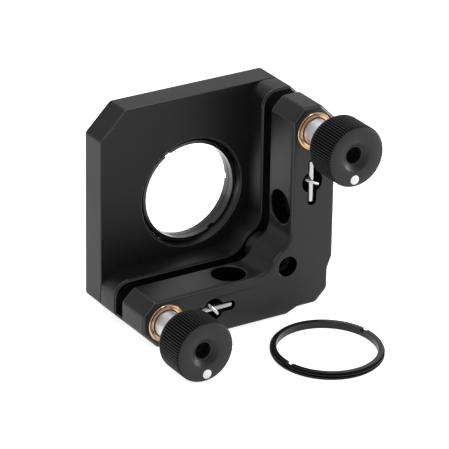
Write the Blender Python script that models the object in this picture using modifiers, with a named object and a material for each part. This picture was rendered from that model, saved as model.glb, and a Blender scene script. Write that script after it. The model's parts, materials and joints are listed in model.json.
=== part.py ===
"""Kinematic mirror mount for a round one inch optic.

A front plate with a bore for the optic is pulled by two springs against three balls: a fixed pivot ball in the
corner, and the ball tips of two fine adjuster screws that are threaded through bushings in the L-shaped back
plate. Turning a knob tilts the front plate about the line through the other two balls.

Lengths are in metres. +Z is up, +Y runs from the back plate to the front plate, and the origin is the middle of
the face on which the back plate is bolted down, half way through its thickness.
"""

import math

import bmesh
import bpy
from mathutils import Matrix
from mathutils import Vector

MM = 0.001

# Plates: outlines in the X-Z plane and thicknesses along Y
PLATE = 50.8 * MM
LEG = 11.8 * MM
CORNER_CHAMFER = 4.2 * MM
SLAB_CHAMFER = 6.4 * MM
LEG_END_CHAMFER = 3.0 * MM
CORNER_ROUND = 1.3 * MM
BACK_THICKNESS = 9.7 * MM
PLATE_GAP = 3.4 * MM
RIDGE_THICKNESS = 6.1 * MM
SLAB_THICKNESS = 7.2 * MM
BACK_REAR_BEVEL = 0.8 * MM
BACK_FRONT_BEVEL = 0.35 * MM
RIDGE_BEVEL = 0.4 * MM
RIDGE_END_ROUND = 4.0 * MM
SLAB_BEVEL = 0.3 * MM

# The back plate's outer corner below the pivot is milled back on both sides
RELIEF_DEPTH = 1.2 * MM
RELIEF_LENGTH = 9.3 * MM
RELIEF_RAMP = 3.0 * MM
RELIEF_CHAMFER = 3.1 * MM
RELIEF_ROUND = 1.6 * MM

# Pivot in the inner corner
PIVOT_INSET = 12.4 * MM
PIVOT_WALL = 2.0 * MM
PIVOT_FILLET = 4.5 * MM
PIVOT_HOLE_D = 5.0 * MM
PIVOT_SCREW_DEPTH = 2.6 * MM
BOSS_INSET = 0.45 * MM
BOSS_HEIGHT = 2.6 * MM

# Balls and the seats that they press on
BALL_D = 4.76 * MM
SEAT_D = 6.3 * MM
SEAT_THICKNESS = 3.0 * MM
SEAT_MOUTH = 1.8 * MM
CUP_STANDOFF = 0.4 * MM

# Adjusters
ADJUSTER_INSET = 6.0 * MM
SCREW_D = 6.35 * MM
BUSHING_D = 9.1 * MM
BUSHING_PROUD = 0.3 * MM
KNOB_D = 14.68 * MM
KNOB_LENGTH = 9.7 * MM
KNOB_STANDOFF = 7.3 * MM
KNOB_GRIP = 6.0 * MM
KNOB_HOLE_D = 3.9 * MM
KNOB_DISH_D = 7.2 * MM
KNOB_DISH_LIP = 0.35 * MM
KNOB_DISH_DEPTH = 0.7 * MM
KNOB_FACE_CHAMFER = 0.3 * MM
KNOB_SHOULDER = 0.7 * MM
KNOB_RAMP = 1.3 * MM
KNOB_STEP = 1.3 * MM
KNURL_TEETH = 72
KNURL_DEPTH = 0.22 * MM
HEX_ACROSS = 2.0 * MM
HEX_DEPTH = 2.5 * MM
TURNED_CHAMFER = 0.25 * MM

# Springs and the pins that they hook on
SPRING_INSET = 6.3 * MM
SPRING_FROM_END = 18.5 * MM
SPRING_HOLE_D = 5.4 * MM
SPRING_HOLE_FLOOR = 8.25 * MM
SPRING_D = 4.4 * MM
WIRE_D = 0.75 * MM
SPRING_TURNS = 8
COIL_FROM_REAR = 2.6 * MM
COIL_TO_FRONT_PIN = 3.2 * MM
HOOK_BEND = 0.9 * MM
HOOK_TAIL = 0.9 * MM
TOP_HOOK_ANGLE = -27.0
SIDE_HOOK_ANGLE = -50.0
PIN_D = 1.45 * MM
REAR_PIN_LENGTH = 10.0 * MM
REAR_PIN_DEPTH = 0.9 * MM
SLOT_LENGTH = 11.6 * MM
SLOT_WIDTH = 2.4 * MM
FRONT_PIN_LENGTH = 10.3 * MM
FRONT_PIN_DEPTH = 5.0 * MM

# Holes by which the back plate is bolted to a post, from the inside of each leg
BOLT_HEAD_D = 8.0 * MM
BOLT_HEAD_DEPTH = 3.8 * MM
BOLT_RIM = 0.2 * MM
BOLT_D = 4.5 * MM

# Bore for the optic, its place on the front plate and the retaining rings
BORE_FROM_LEFT = 24.15 * MM
BORE_FROM_BOTTOM = 26.74 * MM
BORE_D = 26.4 * MM
BORE_REAR_CHAMFER = 0.25 * MM
BORE_FLARE_WIDTH = 2.0 * MM
BORE_FLARE_DEPTH = 2.0 * MM
RING_WIDTH = 1.5 * MM
RING_THICKNESS = 1.78 * MM
RING_DEPTH = 1.0 * MM
RING_SPACING = 0.1 * MM
NOTCH_WIDTH = 1.5 * MM
NOTCH_DEPTH = 0.7 * MM
REAR_NOTCH_ANGLE = 120.0
FRONT_NOTCH_ANGLE = 0.0
SPARE_NOTCH_ANGLE = 12.7
SPARE_RING_PLACE = (16.42 * MM, -22.8 * MM)

# Clearances between pieces
RUNNING_FIT = 0.05 * MM
SEAT_FIT = 0.1 * MM
THREAD_FIT = 0.1 * MM
CONTACT_GAP = 0.2 * MM
PIN_RECESS = 0.3 * MM

# How far a cutter runs past the surface that it opens
OVERCUT = 1.0 * MM

# Facets on round pieces
FINE_STEPS = 60
ROUND_STEPS = 32
SCREW_STEPS = 20
BALL_STEPS = 16
BALL_RINGS = 10
PIN_STEPS = 16
CUP_STEPS = 4
ARC_STEP = math.radians(20)
COIL_STEPS = 8

# Stations along Y
BACK_REAR = -BACK_THICKNESS / 2
BACK_FRONT = BACK_THICKNESS / 2
RIDGE_REAR = BACK_FRONT + PLATE_GAP
SLAB_REAR = RIDGE_REAR + RIDGE_THICKNESS
SLAB_FRONT = SLAB_REAR + SLAB_THICKNESS
KNOB_FRONT = BACK_REAR - KNOB_STANDOFF
KNOB_FACE = KNOB_FRONT - KNOB_LENGTH
SCREW_REAR = KNOB_FRONT - KNOB_GRIP
REAR_PIN_Y = BACK_REAR + REAR_PIN_DEPTH
FRONT_PIN_Y = RIDGE_REAR + FRONT_PIN_DEPTH

# Plate edges in the X-Z plane: the bolted face, between chamfer and relief, is centred on the origin
RELIEF_END = RELIEF_LENGTH + RELIEF_RAMP
LEFT = -(PLATE + CORNER_CHAMFER - RELIEF_END) / 2
RIGHT = LEFT + PLATE

BALL_R = BALL_D / 2
SCREW_R = SCREW_D / 2
KNOB_R = KNOB_D / 2
WIRE_R = WIRE_D / 2
PIN_R = PIN_D / 2
BORE_R = BORE_D / 2
RING_R = BORE_R - THREAD_FIT

# A ball in a right-angled cone or vee touches at a distance of root two radii from the apex
SOCKET_BALL_Y = RIDGE_REAR + SEAT_MOUTH - BALL_R * math.sqrt(2) - CONTACT_GAP
FLAT_BALL_Y = RIDGE_REAR - BALL_R - CONTACT_GAP


def across_diagonal(point):
    """The same place on the other leg, as the legs mirror across the diagonal through the pivot."""
    x, z = point
    return (RIGHT - z, RIGHT - x)


TOP_ADJUSTER = (RIGHT - ADJUSTER_INSET, PLATE - ADJUSTER_INSET)
SIDE_ADJUSTER = across_diagonal(TOP_ADJUSTER)
PIVOT = (RIGHT - PIVOT_INSET, PIVOT_INSET)
TOP_SPRING = (RIGHT - SPRING_INSET, PLATE - SPRING_FROM_END)
SIDE_SPRING = across_diagonal(TOP_SPRING)
BORE = (LEFT + BORE_FROM_LEFT, BORE_FROM_BOTTOM)

# The mount stands on the side knob's grip and on the front plate's lower front edge, so the table slopes a little
# in the mount's own frame
KNOB_REST = (KNOB_FRONT - KNOB_SHOULDER - KNOB_RAMP, SIDE_ADJUSTER[1] - KNOB_R)
TABLE_SLOPE = -KNOB_REST[1] / (SLAB_FRONT - SLAB_BEVEL - KNOB_REST[0])
TABLE_TILT = math.atan(TABLE_SLOPE)


def clear_scene():
    """Remove what the scene holds."""
    for obj in list(bpy.data.objects):
        bpy.data.objects.remove(obj, do_unlink=True)


def new_collection(name):
    """A collection linked to the scene."""
    group = bpy.data.collections.new(name)
    bpy.context.scene.collection.children.link(group)
    return group


clear_scene()
PARTS = new_collection("kinematic_mirror_mount")
CUTTERS = new_collection("cutters")


def add_object(name, data, group):
    """An object that shows the given mesh or curve."""
    obj = bpy.data.objects.new(name, data)
    group.objects.link(obj)
    return obj


def paint(obj, colour, roughness, metallic):
    """Give a part its own Principled material."""
    material = bpy.data.materials.new(obj.name)
    material.use_nodes = True
    shader = material.node_tree.nodes["Principled BSDF"]
    shader.inputs["Base Color"].default_value = (*colour, 1.0)
    shader.inputs["Roughness"].default_value = roughness
    shader.inputs["Metallic"].default_value = metallic
    obj.data.materials.clear()
    obj.data.materials.append(material)


def black_anodised(obj):
    """Satin black anodised aluminium."""
    paint(obj, (0.022, 0.022, 0.024), 0.42, 0.0)


def bright_steel(obj):
    """Ground stainless steel."""
    paint(obj, (0.62, 0.61, 0.59), 0.25, 1.0)


def bronze(obj):
    """Bearing bronze."""
    paint(obj, (0.62, 0.36, 0.14), 0.32, 1.0)


def smooth(obj):
    """Shade round faces smooth and keep the edges sharp."""
    obj.data.shade_smooth()
    obj.data.set_sharp_from_angle(angle=math.radians(35))


def make_cutter(obj):
    """Turn an object into a tool that shapes another and isn't a part itself."""
    for group in list(obj.users_collection):
        group.objects.unlink(obj)
    CUTTERS.objects.link(obj)
    obj.hide_render = True
    obj.display_type = "WIRE"
    return obj


def combine(obj, tool, operation):
    """Cut, join or intersect an object with a tool."""
    modifier = obj.modifiers.new(tool.name, "BOOLEAN")
    modifier.operation = operation
    modifier.solver = "EXACT"
    modifier.object = make_cutter(tool)


def mesh_from(obj, name):
    """Replace an object by a plain mesh object of what it shows, in the same place."""
    bpy.context.view_layer.update()
    evaluated = obj.evaluated_get(bpy.context.evaluated_depsgraph_get())
    mesh = bpy.data.meshes.new_from_object(evaluated)
    place = obj.matrix_world.copy()
    group = obj.users_collection[0]
    bpy.data.objects.remove(obj, do_unlink=True)
    bm = bmesh.new()
    bm.from_mesh(mesh)
    bmesh.ops.remove_doubles(bm, verts=bm.verts, dist=0.001 * MM)
    bmesh.ops.dissolve_limit(bm, angle_limit=math.radians(0.05), verts=bm.verts, edges=bm.edges)
    bmesh.ops.recalc_face_normals(bm, faces=bm.faces)
    bm.to_mesh(mesh)
    bm.free()
    result = add_object(name, mesh, group)
    result.matrix_world = place
    return result


def arc(centre, radius, start, end):
    """Points on an arc in the X-Z plane, from one angle to another in radians."""
    count = max(1, math.ceil(abs(end - start) / ARC_STEP))
    angles = [start + (end - start) * step / count for step in range(count + 1)]
    return [(centre[0] + radius * math.cos(a), centre[1] + radius * math.sin(a)) for a in angles]


def rounded_corner(before, corner, after, radius):
    """Points of the arc that rounds a corner between two straight edges."""
    here = Vector(corner)
    to_before = (Vector(before) - here).normalized()
    to_after = (Vector(after) - here).normalized()
    half = to_before.angle(to_after) / 2
    reach = radius / math.tan(half)
    centre = here + (to_before + to_after).normalized() * (radius / math.sin(half))
    first = here + to_before * reach - centre
    last = here + to_after * reach - centre
    start = math.atan2(first.y, first.x)
    turn = math.atan2(first.x * last.y - first.y * last.x, first.dot(last))
    return arc(centre, radius, start, start + turn)


def rounded_path(corners, radius):
    """A closed outline with every corner rounded."""
    path = []
    for i, corner in enumerate(corners):
        path += rounded_corner(corners[i - 1], corner, corners[(i + 1) % len(corners)], radius)
    return path


def outline_solid(name, points, y_rear, y_front):
    """A flat outline in the X-Z plane, given thickness along Y."""
    curve = bpy.data.curves.new(name, "CURVE")
    curve.dimensions = "2D"
    curve.fill_mode = "BOTH"
    curve.extrude = (y_front - y_rear) / 2
    spline = curve.splines.new("POLY")
    spline.points.add(len(points) - 1)
    for point, (x, z) in zip(spline.points, points):
        point.co = (x, z, 0.0, 1.0)
    spline.use_cyclic_u = True
    obj = add_object(name + "_outline", curve, PARTS)
    obj.location.y = (y_front + y_rear) / 2
    obj.rotation_euler.x = math.radians(90)
    return mesh_from(obj, name)


def rod(name, radius, start, end, steps=ROUND_STEPS):
    """A straight round bar between two points."""
    start = Vector(start)
    along = Vector(end) - start
    bm = bmesh.new()
    bmesh.ops.create_cone(
        bm, cap_ends=True, segments=steps, radius1=radius, radius2=radius, depth=along.length
    )
    mesh = bpy.data.meshes.new(name)
    bm.to_mesh(mesh)
    bm.free()
    obj = add_object(name, mesh, PARTS)
    obj.location = start + along / 2
    obj.rotation_euler = along.to_track_quat("Z", "Y").to_euler()
    return obj


def block(name, size, place, turn=0.0):
    """A box of the given size, turned about Y."""
    bm = bmesh.new()
    bmesh.ops.create_cube(bm, size=1.0, matrix=Matrix.Diagonal((*size, 1.0)))
    mesh = bpy.data.meshes.new(name)
    bm.to_mesh(mesh)
    bm.free()
    obj = add_object(name, mesh, PARTS)
    obj.location = place
    obj.rotation_euler.y = turn
    return obj


def turned(name, profile, place, axis=(0, 1, 0), steps=ROUND_STEPS, ring=False):
    """A turned piece: (radius, depth) down its outer side, where depth grows from place along axis."""
    mesh = bpy.data.meshes.new(name)
    verts = [(radius, 0.0, -depth) for radius, depth in profile]
    edges = [(i, i + 1) for i in range(len(verts) - 1)]
    if ring:
        edges.append((len(verts) - 1, 0))
    mesh.from_pydata(verts, edges, [])
    obj = add_object(name, mesh, PARTS)
    obj.location = place
    obj.rotation_euler = Vector(axis).to_track_quat("-Z", "Y").to_euler()
    screw = obj.modifiers.new("Turn", "SCREW")
    screw.axis = "Z"
    screw.angle = math.tau
    screw.steps = steps
    screw.render_steps = steps
    screw.use_merge_vertices = True
    screw.merge_threshold = 0.001 * MM
    screw.use_smooth_shade = False
    return obj


def bevel_rim(obj, y, width, segments=1):
    """Bevel the outer edges that lie in one plane across Y."""
    bm = bmesh.new()
    bm.from_mesh(obj.data)
    place = obj.matrix_world
    rim = []
    for edge in bm.edges:
        flat = all(abs((place @ vert.co).y - y) < 0.001 * MM for vert in edge.verts)
        if flat and edge.is_convex and edge.calc_face_angle(0.0) > math.radians(60):
            rim.append(edge)
    bmesh.ops.bevel(
        bm, geom=rim, offset=width, segments=segments, profile=0.5, affect="EDGES", clamp_overlap=True
    )
    bm.to_mesh(obj.data)
    bm.free()


def inner_edge():
    """Inner edge of the upright leg from its top end down to the diagonal through the pivot."""
    face_x = RIGHT - LEG
    wall = PIVOT_HOLE_D / 2 + PIVOT_WALL
    centre_x = face_x - PIVOT_FILLET
    centre_z = PIVOT[1] + math.sqrt((wall + PIVOT_FILLET) ** 2 - (PIVOT[0] - centre_x) ** 2)
    meet = math.atan2(PIVOT[1] - centre_z, PIVOT[0] - centre_x)
    hollow = arc((centre_x, centre_z), PIVOT_FILLET, 0.0, meet)
    bump = arc(PIVOT, wall, meet + math.pi, math.radians(135))
    return [(face_x, PLATE - LEG_END_CHAMFER)] + hollow + bump[1:]


def close_across_diagonal(half):
    """An outline from one half that ends on the diagonal, and its mirror image."""
    return half + [across_diagonal(point) for point in reversed(half[:-1])]


def back_outline():
    """L outline of the back plate with the milled corner below the pivot."""
    lower = (RIGHT - RELIEF_DEPTH, RELIEF_DEPTH + RELIEF_CHAMFER)
    step = (RIGHT - RELIEF_DEPTH, RELIEF_LENGTH)
    upper = (RIGHT, RELIEF_END)
    half = rounded_corner(across_diagonal(lower), lower, step, RELIEF_ROUND)
    half += rounded_corner(lower, step, upper, RELIEF_ROUND)
    inner = inner_edge()
    end = [(RIGHT, PLATE - CORNER_CHAMFER), (RIGHT - CORNER_CHAMFER, PLATE), (RIGHT - LEG + LEG_END_CHAMFER, PLATE)]
    around = [upper] + end + [inner[0]]
    half.append(upper)
    for before, corner, after in zip(around, end, around[2:]):
        half += rounded_corner(before, corner, after, CORNER_ROUND)
    half += inner
    return close_across_diagonal(half)


def slab_outline():
    """Outline of the front plate: a square with its corners cut and rounded."""
    top = PLATE
    corners = [
        (LEFT + CORNER_CHAMFER, 0.0),
        (RIGHT - CORNER_CHAMFER, 0.0),
        (RIGHT, CORNER_CHAMFER),
        (RIGHT, top - CORNER_CHAMFER),
        (RIGHT - CORNER_CHAMFER, top),
        (LEFT + SLAB_CHAMFER, top),
        (LEFT, top - SLAB_CHAMFER),
        (LEFT, CORNER_CHAMFER),
    ]
    return rounded_path(corners, CORNER_ROUND)


def pocket_outline():
    """What is milled off the front plate's rear to leave the L ridge standing, with its ends rounded."""
    centre = (RIGHT - LEG + RIDGE_END_ROUND, PLATE - RIDGE_END_ROUND)
    half = [(centre[0], PLATE + OVERCUT)]
    half += arc(centre, RIDGE_END_ROUND, math.radians(90), math.radians(180))
    half += inner_edge()[1:]
    path = close_across_diagonal(half)
    return path + [(LEFT - OVERCUT, PLATE + OVERCUT)]


def stadium(centre, length, width, upright):
    """Outline of a slot with round ends."""
    radius = width / 2
    reach = length / 2 - radius
    x, z = centre
    if upright:
        return arc((x, z + reach), radius, 0.0, math.pi) + arc((x, z - reach), radius, math.pi, math.tau)
    quarter = math.pi / 2
    right = arc((x + reach, z), radius, -quarter, quarter)
    return right + arc((x - reach, z), radius, quarter, 3 * quarter)


def drill(obj, name, diameter, centre, y_from, y_to, steps=ROUND_STEPS):
    """Drill a round hole along Y."""
    x, z = centre
    tool = rod(name, diameter / 2, (x, y_from, z), (x, y_to, z), steps)
    combine(obj, tool, "DIFFERENCE")


def make_boss():
    """Round boss that guards the pivot ball and leaves the front plate room to tilt."""
    x, z = PIVOT
    start = BACK_FRONT - OVERCUT
    end = BACK_FRONT + BOSS_HEIGHT
    radius = PIVOT_HOLE_D / 2 + PIVOT_WALL - BOSS_INSET
    return rod("pivot_boss", radius, (x, start, z), (x, end, z))


def bolt_cutter(name, start, axis):
    """Counterbored clearance hole from the inner face of a leg right through to the outer face."""
    head = BOLT_HEAD_D / 2
    profile = [
        (0.0, -OVERCUT),
        (head + BOLT_RIM + OVERCUT, -OVERCUT),
        (head, BOLT_RIM),
        (head, BOLT_HEAD_DEPTH),
        (BOLT_D / 2, BOLT_HEAD_DEPTH),
        (BOLT_D / 2, LEG + OVERCUT),
        (0.0, LEG + OVERCUT),
    ]
    return turned(name, profile, start, axis)


def make_back_plate():
    """L-shaped plate that carries the adjusters, the pivot and the springs' rear pins."""
    plate = outline_solid("back_plate", back_outline(), BACK_REAR, BACK_FRONT)
    bevel_rim(plate, BACK_REAR, BACK_REAR_BEVEL, segments=2)
    bevel_rim(plate, BACK_FRONT, BACK_FRONT_BEVEL)
    combine(plate, make_boss(), "UNION")
    rear = BACK_REAR - OVERCUT
    front = BACK_FRONT + OVERCUT
    bushing_hole = BUSHING_D + 2 * RUNNING_FIT
    drill(plate, "top_bushing_hole", bushing_hole, TOP_ADJUSTER, rear, front)
    drill(plate, "side_bushing_hole", bushing_hole, SIDE_ADJUSTER, rear, front)
    drill(plate, "pivot_hole", PIVOT_HOLE_D, PIVOT, rear, front + BOSS_HEIGHT)
    slot_floor = REAR_PIN_Y + PIN_R + SEAT_FIT
    for side, centre in (("top", TOP_SPRING), ("side", SIDE_SPRING)):
        drill(plate, side + "_spring_hole", SPRING_HOLE_D, centre, rear, front)
        slot = stadium(centre, SLOT_LENGTH, SLOT_WIDTH, upright=side == "top")
        combine(plate, outline_solid(side + "_pin_slot", slot, rear, slot_floor), "DIFFERENCE")
    middle = PLATE / 2
    upright = bolt_cutter("side_bolt_hole", (RIGHT - LEG, 0.0, middle), (1, 0, 0))
    combine(plate, upright, "DIFFERENCE")
    lying = bolt_cutter("base_bolt_hole", (LEFT + middle, 0.0, LEG), (0, 0, -1))
    combine(plate, lying, "DIFFERENCE")
    smooth(plate)
    black_anodised(plate)
    return plate


def make_bore_cutter():
    """Bore for the optic with its chamfer at the rear and its flare at the front face."""
    start = SLAB_REAR - OVERCUT
    straight = SLAB_FRONT - BORE_FLARE_DEPTH - start
    slope = BORE_FLARE_WIDTH / BORE_FLARE_DEPTH
    end = SLAB_FRONT + OVERCUT - start
    profile = [
        (0.0, 0.0),
        (BORE_R + BORE_REAR_CHAMFER + OVERCUT, 0.0),
        (BORE_R, OVERCUT + BORE_REAR_CHAMFER),
        (BORE_R, straight),
        (BORE_R + BORE_FLARE_WIDTH + slope * OVERCUT, end),
        (0.0, end),
    ]
    return turned("bore_cutter", profile, (BORE[0], start, BORE[1]), steps=FINE_STEPS)


def make_front_plate():
    """Square plate with the optic's bore and an L ridge that faces the back plate."""
    plate = outline_solid("front_plate", slab_outline(), RIDGE_REAR, SLAB_FRONT)
    pocket = outline_solid("ridge_pocket", pocket_outline(), RIDGE_REAR - OVERCUT, SLAB_REAR)
    combine(plate, pocket, "DIFFERENCE")
    plate = mesh_from(plate, "front_plate")
    bevel_rim(plate, RIDGE_REAR, RIDGE_BEVEL)
    bevel_rim(plate, SLAB_REAR, SLAB_BEVEL)
    bevel_rim(plate, SLAB_FRONT, SLAB_BEVEL)
    combine(plate, make_bore_cutter(), "DIFFERENCE")
    rear = RIDGE_REAR - OVERCUT
    seat_floor = RIDGE_REAR + SEAT_THICKNESS + SEAT_FIT
    seat_hole = SEAT_D + 2 * SEAT_FIT
    drill(plate, "flat_seat_hole", seat_hole, TOP_ADJUSTER, rear, seat_floor)
    drill(plate, "vee_seat_hole", seat_hole, SIDE_ADJUSTER, rear, seat_floor)
    drill(plate, "cone_seat_hole", seat_hole, PIVOT, rear, seat_floor)
    spring_floor = RIDGE_REAR + SPRING_HOLE_FLOOR
    drill(plate, "top_front_hole", SPRING_HOLE_D, TOP_SPRING, rear, spring_floor)
    drill(plate, "side_front_hole", SPRING_HOLE_D, SIDE_SPRING, rear, spring_floor)
    for side in ("top", "side"):
        start, end = front_pin_ends(side, -OVERCUT, FRONT_PIN_LENGTH + PIN_RECESS + SEAT_FIT)
        tool = rod(side + "_pin_hole", PIN_R + RUNNING_FIT, start, end, PIN_STEPS)
        combine(plate, tool, "DIFFERENCE")
    smooth(plate)
    black_anodised(plate)
    return plate


def front_pin_ends(side, start_depth, end_depth):
    """Two points on a front pin's line, by their depth below the plate's outer side."""
    if side == "top":
        z = TOP_SPRING[1]
        return (RIGHT - start_depth, FRONT_PIN_Y, z), (RIGHT - end_depth, FRONT_PIN_Y, z)
    x = SIDE_SPRING[0]
    return (x, FRONT_PIN_Y, start_depth), (x, FRONT_PIN_Y, end_depth)


def make_pins(side, centre):
    """The two pins that hold one spring."""
    x, z = centre
    half = REAR_PIN_LENGTH / 2
    if side == "top":
        start, end = (x, REAR_PIN_Y, z - half), (x, REAR_PIN_Y, z + half)
    else:
        start, end = (x - half, REAR_PIN_Y, z), (x + half, REAR_PIN_Y, z)
    rear = rod(side + "_rear_spring_pin", PIN_R, start, end, PIN_STEPS)
    start, end = front_pin_ends(side, PIN_RECESS, PIN_RECESS + FRONT_PIN_LENGTH)
    front = rod(side + "_front_spring_pin", PIN_R, start, end, PIN_STEPS)
    for pin in (rear, front):
        smooth(pin)
        bright_steel(pin)


def hook_points(end_y, pin_y, angle, away):
    """Path of a hook from the coil's end over a pin: along Y away from the coil, across and back."""
    coil_r = (SPRING_D - WIRE_D) / 2
    over_y = pin_y + away * (PIN_R + WIRE_R + SEAT_FIT)
    bend_y = over_y - away * HOOK_BEND
    cos_a = math.cos(angle)
    sin_a = math.sin(angle)
    flat = [(coil_r, end_y)]
    for centre_u, first, last in ((coil_r - HOOK_BEND, 0, 90), (HOOK_BEND - coil_r, 90, 180)):
        for step in range(4):
            a = math.radians(first + (last - first) * step / 3)
            flat.append((centre_u + HOOK_BEND * math.cos(a), bend_y + away * HOOK_BEND * math.sin(a)))
    flat.append((-coil_r, bend_y - away * HOOK_TAIL))
    return [(u * cos_a, y, u * sin_a) for u, y in flat]


def spring_path(rear_angle, front_angle):
    """Centre line of an extension spring, from the rear hook's tail to the front hook's tail."""
    coil_r = (SPRING_D - WIRE_D) / 2
    start_y = BACK_REAR + COIL_FROM_REAR
    end_y = FRONT_PIN_Y - COIL_TO_FRONT_PIN
    rear_hook = hook_points(start_y, REAR_PIN_Y, rear_angle, -1)
    front_hook = hook_points(end_y, FRONT_PIN_Y, front_angle, 1)
    turn = math.tau * SPRING_TURNS + (front_angle - rear_angle) % math.tau
    count = round(turn / math.tau * COIL_STEPS)
    coil = []
    for step in range(1, count):
        share = step / count
        angle = rear_angle + turn * share
        y = start_y + (end_y - start_y) * share
        coil.append((coil_r * math.cos(angle), y, coil_r * math.sin(angle)))
    return list(reversed(rear_hook)) + coil + front_hook


def make_spring(side, centre, rear_angle, front_angle):
    """Extension spring of round wire with a hook at each end."""
    curve = bpy.data.curves.new(side + "_spring", "CURVE")
    curve.dimensions = "3D"
    curve.bevel_depth = WIRE_R
    curve.bevel_resolution = 2
    curve.use_fill_caps = True
    spline = curve.splines.new("POLY")
    points = spring_path(math.radians(rear_angle), math.radians(front_angle))
    spline.points.add(len(points) - 1)
    for point, place in zip(spline.points, points):
        point.co = (*place, 1.0)
    wire = add_object(side + "_spring_wire", curve, PARTS)
    wire.location = (centre[0], 0.0, centre[1])
    spring = mesh_from(wire, side + "_spring")
    smooth(spring)
    bright_steel(spring)


def cup_profile(depth, centre_depth):
    """Hollow of a ball seat at the end of a screw: (radius, depth) from its rim to its middle."""
    radius = BALL_R + SEAT_FIT
    rim = math.acos((centre_depth - depth) / radius)
    angles = [rim * (1 - step / CUP_STEPS) for step in range(CUP_STEPS + 1)]
    return [(radius * math.sin(a), centre_depth - radius * math.cos(a)) for a in angles]


def cupped_screw(name, radius, rear_y, ball_y, centre):
    """A screw with a hex socket in its rear end and a cup for a ball in its front end."""
    x, z = centre
    ball = ball_y - rear_y
    length = ball - CUP_STANDOFF
    profile = [
        (0.0, 0.0),
        (radius - TURNED_CHAMFER, 0.0),
        (radius, TURNED_CHAMFER),
        (radius, length - TURNED_CHAMFER),
        (max(radius - TURNED_CHAMFER, cup_profile(length, ball)[0][0] + RUNNING_FIT / 2), length),
    ]
    profile += cup_profile(length, ball)
    screw = turned(name, profile, (x, rear_y, z), steps=SCREW_STEPS)
    socket = rod(
        name + "_socket", HEX_ACROSS / math.sqrt(3), (x, rear_y - OVERCUT, z), (x, rear_y + HEX_DEPTH, z), 6
    )
    combine(screw, socket, "DIFFERENCE")
    smooth(screw)
    bright_steel(screw)
    return screw


def make_ball(name, centre, y):
    """A steel ball."""
    bm = bmesh.new()
    bmesh.ops.create_uvsphere(bm, u_segments=BALL_STEPS, v_segments=BALL_RINGS, radius=BALL_R)
    mesh = bpy.data.meshes.new(name)
    bm.to_mesh(mesh)
    bm.free()
    ball = add_object(name, mesh, PARTS)
    ball.location = (centre[0], y, centre[1])
    ball.rotation_euler.x = math.radians(90)
    smooth(ball)
    bright_steel(ball)


def make_bushing(side, centre):
    """Threaded bronze bushing that guides the adjuster screw."""
    length = BACK_THICKNESS + BUSHING_PROUD - SEAT_FIT
    outer = BUSHING_D / 2
    inner = SCREW_R + RUNNING_FIT
    profile = [
        (outer - TURNED_CHAMFER, 0.0),
        (outer, TURNED_CHAMFER),
        (outer, length - TURNED_CHAMFER),
        (outer - TURNED_CHAMFER, length),
        (inner, length),
        (inner, TURNED_CHAMFER),
        (inner + TURNED_CHAMFER, 0.0),
    ]
    place = (centre[0], BACK_REAR - BUSHING_PROUD, centre[1])
    bushing = turned(side + "_bushing", profile, place, ring=True)
    smooth(bushing)
    bronze(bushing)


def knurl_outline(radius, depth, teeth, centre):
    """Outline of straight knurling, a ring of small pointed teeth."""
    points = []
    for step in range(2 * teeth):
        angle = math.tau * step / (2 * teeth)
        r = radius - depth * (step % 2)
        points.append((centre[0] + r * math.cos(angle), centre[1] + r * math.sin(angle)))
    return points


def make_knob(side, centre):
    """Knurled knob, bored for the screw, with a dished face and a hole for a hex key."""
    over = CONTACT_GAP
    ramp = over * KNOB_RAMP / KNOB_SHOULDER
    blank = [
        (0.0, 0.0),
        (KNOB_R - KNOB_FACE_CHAMFER, 0.0),
        (KNOB_R + over, KNOB_FACE_CHAMFER + over),
        (KNOB_R + over, KNOB_LENGTH - KNOB_SHOULDER - KNOB_RAMP - ramp),
        (KNOB_R - KNOB_SHOULDER, KNOB_LENGTH - KNOB_SHOULDER),
        (KNOB_R - KNOB_SHOULDER - KNOB_STEP, KNOB_LENGTH),
        (0.0, KNOB_LENGTH),
    ]
    place = (centre[0], KNOB_FACE, centre[1])
    knob = turned(side + "_knob", blank, place, steps=2 * KNURL_TEETH)
    teeth = knurl_outline(KNOB_R, KNURL_DEPTH, KNURL_TEETH, centre)
    knurl = outline_solid(side + "_knurl", teeth, KNOB_FACE - OVERCUT, KNOB_FRONT + OVERCUT)
    combine(knob, knurl, "INTERSECT")
    hole = KNOB_HOLE_D / 2
    bore = SCREW_R + SEAT_FIT
    bore_start = KNOB_LENGTH - KNOB_GRIP - SEAT_FIT
    slope = (KNOB_DISH_D / 2 - hole - KNOB_DISH_LIP) / KNOB_DISH_DEPTH
    inside = [
        (0.0, -OVERCUT),
        (KNOB_DISH_D / 2 + slope * OVERCUT, -OVERCUT),
        (hole + KNOB_DISH_LIP, KNOB_DISH_DEPTH),
        (hole, KNOB_DISH_DEPTH),
        (hole, bore_start),
        (bore, bore_start),
        (bore, KNOB_LENGTH + OVERCUT),
        (0.0, KNOB_LENGTH + OVERCUT),
    ]
    combine(knob, turned(side + "_knob_bore", inside, place), "DIFFERENCE")
    smooth(knob)
    black_anodised(knob)


def make_adjuster(side, centre, ball_y):
    """Bushing, screw, ball tip and knob of one adjuster."""
    make_bushing(side, centre)
    cupped_screw(side + "_screw", SCREW_R, SCREW_REAR, ball_y, centre)
    make_ball(side + "_ball_tip", centre, ball_y)
    make_knob(side, centre)


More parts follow.
